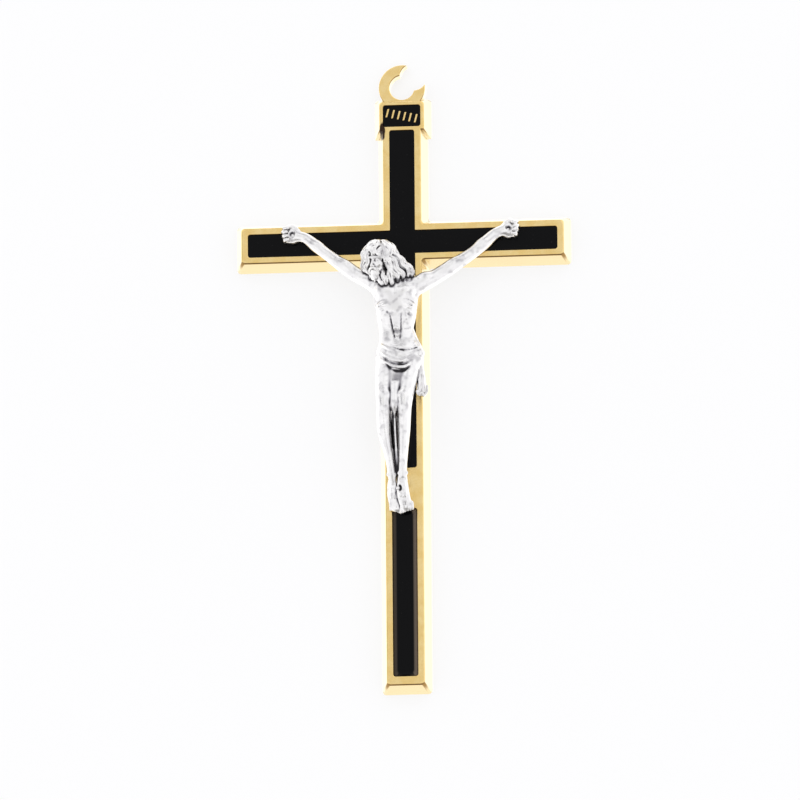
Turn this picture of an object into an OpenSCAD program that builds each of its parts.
// Pendant crucifix: a cast cross with three enamel fills, an open eye on top
// and a cast figure fixed to its front.
// It lies on its flat back. +X is to the right, +Y towards the eye, +Z out of the front.
// The origin is the middle of the outline, on the back.

/* [Cross] */
// Length of the upright on the back, without the eye
cross_length = 75.9; // [62:0.1:110]
// Length of the crossbar on the back
cross_width = 41.7; // [34:0.1:70]
// From the crossbar's centre line up to the top of the upright
top_arm = 18.7; // [15:0.1:24]
// Thickness of the casting
thickness = 2.4; // [1.9:0.05:3.5]
// Width of the upright's front face
upright_w = 4.7; // [3.6:0.1:6.5]
// Width of the crossbar's front face
crossbar_w = 4.5; // [3.6:0.1:6.5]
// How much the sides spread from the front to the back
draft = 0.78; // [0.2:0.01:1]
// Width of the soft edge around the front
edge_break = 0.14; // [0.05:0.01:0.25]

/* [Enamel] */
// Width of the metal rim beside the enamel
rim = 0.8; // [0.5:0.05:1.1]
// Width of the metal rim at the foot
foot_rim = 1.1; // [0.5:0.05:3]
// Depth of the enamel recesses
enamel_depth = 0.8; // [0.4:0.05:1.2]
// How far the enamel lies below the rim
enamel_drop = 0.04; // [0:0.01:0.15]
// Width of the rolled border of the enamel
roll_w = 0.32; // [0.1:0.02:0.5]
// Height of the rolled border of the enamel
roll_h = 0.12; // [0.05:0.01:0.3]
// Corner radius of the recesses
corner_r = 0.3; // [0.1:0.05:0.6]
// Length of the plain metal field behind the feet
field_length = 5.2; // [4.5:0.1:8]

/* [Title block] */
// How far the title block stands out beside the upright
title_step = 0.42; // [0.1:0.02:1]
// Height of the title block's front face
title_h = 3.6; // [3:0.1:5]
// Width of the rim around the title panel
title_rim = 0.44; // [0.3:0.02:0.8]
// Number of raised strokes on the title panel
strokes = 6; // [3:1:7]
// Width of a stroke
stroke_w = 0.24; // [0.15:0.01:0.35]
// Height of a stroke
stroke_h = 1.1; // [0.6:0.05:1.4]
// Sideways lean of a stroke from its foot to its head
stroke_lean = 0.28; // [0:0.02:0.4]
// How far the row of strokes falls from its first to its last
stroke_fall = 0.75; // [0:0.05:1]

/* [Eye] */
// Outer radius of the eye
eye_r = 2.9; // [2.4:0.01:4]
// Radius of the hole in the eye
eye_hole_r = 1.58; // [1:0.01:2]
// How far the eye's face lies below the front
eye_step = 0.7; // [0.2:0.05:1.2]
// From the top of the upright up to the hole's centre
eye_rise = 1.2; // [1:0.01:2]
// Radius of the bite that leaves the eye open, or 0 for a closed eye
bite_r = 1.7; // [0:0.05:1.8]
// From the hole's centre to the bite's centre
bite_reach = 1.95; // [1.9:0.05:2.3]
// Direction of the bite, turned from +X
bite_angle = 43; // [30:1:60]

/* [Figure] */
// Height of the figure from crown to toes
figure_height = 35; // [30:0.5:42]

/* [Hidden] */

total_length = cross_length + eye_rise + eye_r;
foot_y = -total_length / 2;
top_y = foot_y + cross_length;
crossing_y = top_y - top_arm;
front_top_y = top_y - draft;
front_foot_y = foot_y + draft;
eye_y = top_y + eye_rise;
eye_t = thickness - eye_step;
recess_floor = thickness - enamel_depth;
title_w = upright_w + 2 * title_step;
panel_w = title_w - 2 * title_rim;
panel_h = title_h - 2 * title_rim;
panel_y = front_top_y - title_h / 2;
title_gap = 0.05;
upper_top_y = front_top_y - title_h - title_gap;
through = 20;

// The figure is drawn 35 mm tall, its origin just above the crossing and the front face at z = 0.
figure_drawn_h = 35;
figure_y = crossing_y + 0.15;
figure_scale = figure_height / figure_drawn_h;
feet_nail_drop = 31.9;
field_rise = 3.1;
field_top_y = crossing_y - (feet_nail_drop - field_rise) * figure_scale;
field_foot_y = field_top_y - field_length;
lower_foot_y = front_foot_y + foot_rim;
upper_w = upright_w - 2 * rim;
crossbar_enamel_w = crossbar_w - 2 * rim;
crossbar_enamel_l = cross_width - 2 * draft - 2 * rim;

// ---------------------------------------------------------------- outlines

// Section of a bar: front edges softened, sides spread towards the back.
function bar_section(front_w) =
    let (half = front_w / 2, shoulder = half + draft * edge_break / thickness)
    [
        [-half - draft, 0],
        [half + draft, 0],
        [shoulder, thickness - edge_break],
        [half - edge_break, thickness],
        [-half + edge_break, thickness],
        [-shoulder, thickness - edge_break]
    ];

// Rectangle about the origin with round corners.
function rounded_rect(w, h, r, steps = 5) =
    [
        for (q = [0:3])
            let (sx = (q == 0 || q == 3) ? 1 : -1, sy = q < 2 ? 1 : -1)
                for (k = [0:steps])
                    let (a = 90 * q + 90 * k / steps)
                        [sx * (w / 2 - r) + r * cos(a), sy * (h / 2 - r) + r * sin(a)]
    ];

// ---------------------------------------------------------------- cross

// A bar that lies on z = 0, with its front face l long (Y) and w wide (X).
module drafted_bar(w, l) {
    intersection() {
        rotate([90, 0, 0])
            linear_extrude(height = l + 2 * through, center = true)
                polygon(bar_section(w));
        rotate([90, 0, 90])
            linear_extrude(height = w + 2 * through, center = true)
                polygon(bar_section(l));
    }
}

// A straight-walled block under a rounded outline, from the recess floor up to z_top.
module fill_block(w, l, y, z_top) {
    translate([0, y, recess_floor])
        linear_extrude(height = z_top - recess_floor)
            polygon(rounded_rect(w, l, corner_r));
}

// The enamel in a rounded recess, rolled down along its border.
module enamel_block(w, l, y) {
    full = enamel_depth - enamel_drop;
    translate([0, y, recess_floor])
        hull() {
            linear_extrude(height = full - roll_h)
                polygon(rounded_rect(w, l, corner_r));
            linear_extrude(height = full)
                polygon(rounded_rect(w - 2 * roll_w, l - 2 * roll_w, corner_r));
        }
}

// The two bars of the upper recess, as [width, length, y].
upper_bars = [
    [upper_w, upper_top_y - field_top_y, (upper_top_y + field_top_y) / 2],
    [crossbar_enamel_l, crossbar_enamel_w, crossing_y]
];

// The row of raised strokes on the title panel.
module title_strokes(z_top) {
    pitch = panel_w / (strokes + 0.6);
    for (i = [0:strokes - 1]) {
        along = i / (strokes - 1) - 0.5;
        x = pitch * (i - (strokes - 1) / 2);
        translate([x, panel_y - stroke_fall * along, recess_floor])
            linear_extrude(height = z_top - recess_floor)
                polygon([
                    [-stroke_w / 2 - stroke_lean / 2, -stroke_h / 2],
                    [stroke_w / 2 - stroke_lean / 2, -stroke_h / 2],
                    [stroke_w / 2 + stroke_lean / 2, stroke_h / 2],
                    [-stroke_w / 2 + stroke_lean / 2, stroke_h / 2]
                ]);
    }
}

module eye() {
    translate([0, eye_y, 0])
        cylinder(r = eye_r, h = eye_t, $fn = 96);
}

module eye_opening() {
    translate([0, eye_y, -1]) {
        cylinder(r = eye_hole_r, h = thickness + 2, $fn = 96);
        if (bite_r > 0)
            rotate([0, 0, bite_angle])
                translate([bite_reach, 0, 0])
                    cylinder(r = bite_r, h = thickness + 2, $fn = 96);
    }
}

module cross_body() {
    front_l = front_top_y - front_foot_y;
    color("goldenrod") {
        difference() {
            union() {
                translate([0, (front_top_y + front_foot_y) / 2, 0])
                    drafted_bar(upright_w, front_l);
                translate([0, crossing_y, 0])
                    drafted_bar(cross_width - 2 * draft, crossbar_w);
                translate([0, panel_y, 0])
                    drafted_bar(title_w, title_h);
                eye();
            }
            eye_opening();
            fill_block(panel_w, panel_h, panel_y, thickness + 1);
            for (bar = upper_bars)
                fill_block(bar[0], bar[1], bar[2], thickness + 1);
            fill_block(upper_w, field_foot_y - lower_foot_y,
                       (field_foot_y + lower_foot_y) / 2, thickness + 1);
        }
        title_strokes(thickness);
    }
}

module title_enamel() {
    color("black")
        difference() {
            enamel_block(panel_w, panel_h, panel_y);
            title_strokes(thickness + 1);
        }
}

module upper_enamel() {
    color("black")
        for (bar = upper_bars)
            enamel_block(bar[0], bar[1], bar[2]);
}

module lower_enamel() {
    color("black")
        enamel_block(upper_w, field_foot_y - lower_foot_y, (field_foot_y + lower_foot_y) / 2);
}

// ---------------------------------------------------------------- lofts for the figure

function unit(v) = v / norm(v);
function point(s) = [s[0], s[1], s[2]];
function held(list, i) = list[max(0, min(len(list) - 1, i))];

// Smooth curve through stations b and c, with a before and d after them.
function curve(a, b, c, d, t) =
    0.5 * (2 * b + (c - a) * t + (2 * a - 5 * b + 4 * c - d) * t * t
    + (3 * b - a - 3 * c + d) * t * t * t);

// Each station is [x, y, z, half width, half depth].
function smooth(list, steps) =
    [
        for (i = [0:len(list) - 2])
            for (k = [0:steps - 1])
                curve(held(list, i - 1), list[i], list[i + 1], held(list, i + 2), k / steps),
        list[len(list) - 1]
    ];

function tangent(list, i) = unit(point(held(list, i + 1)) - point(held(list, i - 1)));

// Flute deepens a ring into that many folds, by that share of its radius.
function ring(s, along, sides, folds, flute) =
    let (side = unit(cross(along, [0, 0, 1])), front = unit(cross(side, along)))
    [
        for (k = [0:sides - 1])
            let (a = 360 * k / sides, grow = 1 + flute * cos(folds * a + 40 * s[1]))
                point(s) + side * s[3] * grow * cos(a) + front * s[4] * grow * sin(a)
    ];

// The tip of a limb's blunt end: past the station by a share of its half depth.
function tip(s, out) = point(s) + out * 0.3 * s[4];

// A closed tube of oval rings through the stations, bluntly pointed at both ends.
module limb(stations, sides = 12, steps = 2, folds = 0, flute = 0) {
    path = smooth(stations, steps);
    last = len(path) - 1;
    points = [
        for (i = [0:last])
            each ring(path[i], tangent(path, i), sides, folds, flute),
        tip(path[0], -tangent(path, 0)),
        tip(path[last], tangent(path, last))
    ];
    low_tip = (last + 1) * sides;
    high_tip = low_tip + 1;
    walls = [
        for (i = [0:last - 1])
            for (k = [0:sides - 1])
                let (a = i * sides + k, b = i * sides + (k + 1) % sides)
                    each [[a, b, b + sides], [a, b + sides, a + sides]]
    ];
    caps = [
        for (k = [0:sides - 1])
            let (a = k, b = (k + 1) % sides, top = last * sides)
                each [[b, a, low_tip], [top + a, top + b, high_tip]]
    ];
    polyhedron(points = points, faces = concat(walls, caps));
}

module ball(at, size, fn = 12) {
    translate(at)
        scale(size)
            sphere(r = 1, $fn = fn);
}

// A round-ended bone between two points.
module bone(a, b, ra, rb, fn = 8) {
    hull() {
        ball(a, [ra, ra, ra], fn);
        ball(b, [rb, rb, rb], fn);
    }
}

// ---------------------------------------------------------------- figure

torso_stations = [
    [-0.9, -4.6, 2.7, 0.7, 0.7],
    [-0.7, -5.5, 2.4, 2.3, 1.0],
    [-0.6, -6.6, 2.3, 2.85, 1.45],
    [-0.65, -8.2, 2.3, 2.8, 1.65],
    [-0.6, -10.1, 2.3, 2.52, 1.6],
    [-0.65, -11.8, 2.1, 2.25, 1.2],
    [-0.4, -13.4, 2.1, 2.5, 1.3],
    [-0.25, -15.0, 2.1, 2.9, 1.45],
    [-0.25, -16.6, 2.2, 2.6, 1.2]
];

left_arm_stations = [
    [-13.1, 0.7, 0.95, 0.7, 0.5],
    [-12.0, 0.4, 1.0, 0.72, 0.58],
    [-10.7, -0.65, 1.2, 0.8, 0.7],
    [-9.2, -1.9, 1.5, 0.74, 0.7],
    [-6.4, -4.1, 1.9, 0.94, 0.87],
    [-4.2, -5.5, 2.2, 0.97, 0.95],
    [-2.6, -6.45, 2.3, 1.18, 1.05],
    [-1.4, -7.2, 2.2, 0.95, 0.85]
];

right_arm_stations = [
    [12.9, 0.8, 0.95, 0.7, 0.5],
    [11.7, 0.3, 1.0, 0.74, 0.58],
    [10.4, -0.85, 1.2, 0.82, 0.7],
    [8.7, -2.3, 1.5, 0.76, 0.7],
    [5.9, -4.2, 1.9, 0.95, 0.87],
    [3.7, -5.6, 2.2, 0.97, 0.95],
    [1.85, -6.45, 2.3, 1.18, 1.05],
    [0.6, -7.2, 2.2, 0.95, 0.85]
];

left_leg_stations = [
    [-1.6, -15.0, 2.2, 1.4, 1.2],
    [-1.95, -17.0, 2.5, 1.3, 1.3],
    [-2.1, -19.4, 3.2, 1.12, 1.2],
    [-2.1, -22.1, 3.9, 0.96, 1.0],
    [-2.1, -24.9, 3.1, 0.92, 1.0],
    [-1.68, -27.6, 2.2, 0.64, 0.78],
    [-1.4, -29.8, 1.5, 0.6, 0.64],
    [-1.3, -31.0, 0.9, 0.6, 0.6]
];

right_leg_stations = [
    [1.3, -15.0, 2.2, 1.35, 1.2],
    [1.05, -17.0, 2.6, 1.25, 1.3],
    [0.75, -19.4, 3.4, 1.05, 1.2],
    [0.5, -22.1, 4.1, 0.88, 1.05],
    [0.33, -24.9, 3.4, 0.8, 1.05],
    [0.15, -27.6, 2.6, 0.64, 0.8],
    [0.02, -29.8, 2.1, 0.56, 0.64],
    [0.02, -30.9, 1.7, 0.58, 0.62]
];

left_foot_stations = [
    [-1.25, -30.1, 0.6, 0.55, 0.6],
    [-1.25, -31.2, 0.5, 0.8, 0.75],
    [-1.15, -32.6, 0.4, 0.95, 0.65],
    [-0.95, -33.9, 0.35, 0.85, 0.5],
    [-0.85, -34.3, 0.35, 0.55, 0.3]
];

right_foot_stations = [
    [-0.1, -30.0, 1.7, 0.5, 0.5],
    [-0.05, -31.2, 1.7, 0.68, 0.6],
    [0.0, -32.6, 1.35, 0.82, 0.5],
    [0.25, -33.9, 0.95, 0.76, 0.42],
    [0.35, -34.3, 0.85, 0.5, 0.25]
];

// A half-closed hand, its back on the cross: side is -1 on the left and 1 on the right.
module hand(at, side) {
    translate(at) {
        ball([side * 0.35, 0, -0.35], [1.2, 1.15, 0.85]);
        for (i = [0:3]) {
            y = 0.815 - 0.53 * i;
            knuckle = [side * 1.1, y, -0.15];
            tip = [side * (1.45 - 0.1 * abs(i - 1)), y * 0.95, 0.45];
            bone(knuckle, tip, 0.31, 0.25);
        }
        bone([side * 0.05, 0.91, -0.05], [side * 0.8, 0.98, 0.55], 0.3, 0.23);
        translate([side * 0.4, 0, 0])
            cylinder(r = 0.28, h = 0.65, $fn = 8);
    }
}

// Toes in a row across the front of a foot, the big toe on the inner side.
module toes(at, side) {
    for (i = [0:4]) {
        x = side * (0.312 * i - 0.55);
        size = i == 0 ? 0.25 : 0.185;
        ball([at[0] + x, at[1] - 0.35 + 0.088 * i, at[2] - 0.023 * i], [size, size * 1.6, size], 8);
    }
}

// The head in its own frame: +Y to the crown, +Z out of the face.
module head() {
    limb([
        [0, 1.5, 0.2, 0.9, 1.0],
        [0, 0.9, 0.3, 1.3, 1.35],
        [0, 0.0, 0.4, 1.28, 1.3],
        [0, -1.1, 0.5, 1.08, 1.1],
        [0, -2.0, 0.75, 0.7, 0.75],
        [0, -2.4, 0.95, 0.3, 0.35]
    ]);
    bone([0, 0.3, 1.45], [0, -0.42, 1.85], 0.14, 0.26);
    bone([-0.75, 0.5, 1.2], [0.75, 0.5, 1.2], 0.22, 0.22);
    beard();
    hair();
}

// Three locks that meet under the chin.
module beard() {
    for (x = [-0.75, 0, 0.75])
        limb([
            [x, -1.15, 1.1 - 0.45 * abs(x), 0.35, 0.3],
            [x * 0.8, -1.9, 1.25 - 0.5 * abs(x), 0.45, 0.42],
            [x * 0.5, -2.71 + 0.3 * abs(x), 1.15 - 0.4 * abs(x), 0.16, 0.16]
        ], 8);
}

// A cap of hair, and locks that leave the parting and fall beside the face.
module hair() {
    ball([0, 0.5, -0.65], [2.2, 2.0, 1.85], 16);
    for (side = [-1, 1])
        for (i = [0:1])
            limb([
                [side * 0.25, 2.15 - 0.5 * i, 0.55 - 1.2 * i, 0.35, 0.35],
                [side * 1.45, 1.6 - 0.4 * i, 0.7 - 1.3 * i, 0.56, 0.55],
                [side * 2.05, 0.2, 0.4 - 1.2 * i, 0.56, 0.62],
                [side * 1.95, -1.2, 0.1 - 1.0 * i, 0.54, 0.6],
                [side * 2.15, -2.4 - 0.45 * i, -0.35 - 0.7 * i, 0.34, 0.36]
            ], 9);
}

// The cloth round the hips, its hem low in the middle, and the end that hangs from the knot.
module loincloth() {
    limb([
        [-0.3, -13.4, 2.1, 2.2, 1.0],
        [-0.25, -13.8, 2.15, 2.85, 1.6],
        [-0.22, -14.9, 2.15, 3.1, 1.75],
        [-0.22, -16.0, 2.3, 3.05, 1.8],
        [-0.25, -16.9, 2.35, 2.4, 1.3]
    ], 24, 2, 6, 0.03);
    limb([
        [-2.8, -14.4, 2.9, 0.4, 0.45],
        [-1.4, -16.0, 3.85, 0.55, 0.45],
        [-0.2, -16.8, 4.15, 0.6, 0.45],
        [1.3, -16.1, 3.75, 0.55, 0.45],
        [2.5, -14.8, 2.8, 0.45, 0.5]
    ], 8);
    ball([2.45, -15.32, 2.7], [0.6, 0.7, 0.65], 10);
    limb([
        [2.4, -15.4, 2.4, 0.3, 0.45],
        [2.55, -17.0, 2.2, 0.5, 0.6],
        [2.55, -18.8, 2.0, 0.65, 0.65],
        [2.5, -20.2, 1.9, 0.55, 0.45]
    ], 15, 3, 5, 0.14);
}

module figure_in_the_round() {
    limb(torso_stations, 16);
    limb(left_arm_stations, 10);
    limb(right_arm_stations, 10);
    hand([-13.25, 0.9, 0.9], -1);
    hand([12.95, 0.85, 0.9], 1);
    limb(left_leg_stations);
    limb(right_leg_stations);
    limb(left_foot_stations, 10);
    limb(right_foot_stations, 10);
    toes([-0.95, -34.25, 0.35], -1);
    toes([0.35, -34.25, 0.85], 1);
    translate([-0.6, -31.9, 1.2])
        cylinder(r = 0.3, h = 1.05, $fn = 8);
    bone([-1.0, -4.4, 2.7], [-1.7, -3.6, 3.05], 1.0, 1.05, 12);
    loincloth();
    translate([-2.65, -3.2, 3.35])
        rotate([14, -22, -6])
            head();
}

module figure() {
    color("silver")
        translate([0, figure_y, thickness])
            scale(figure_scale)
                difference() {
                    figure_in_the_round();
                    translate([0, 0, -through])
                        cube([4 * through, 4 * through, 2 * through], center = true);
                }
}

cross_body();
title_enamel();
upper_enamel();
lower_enamel();
figure();
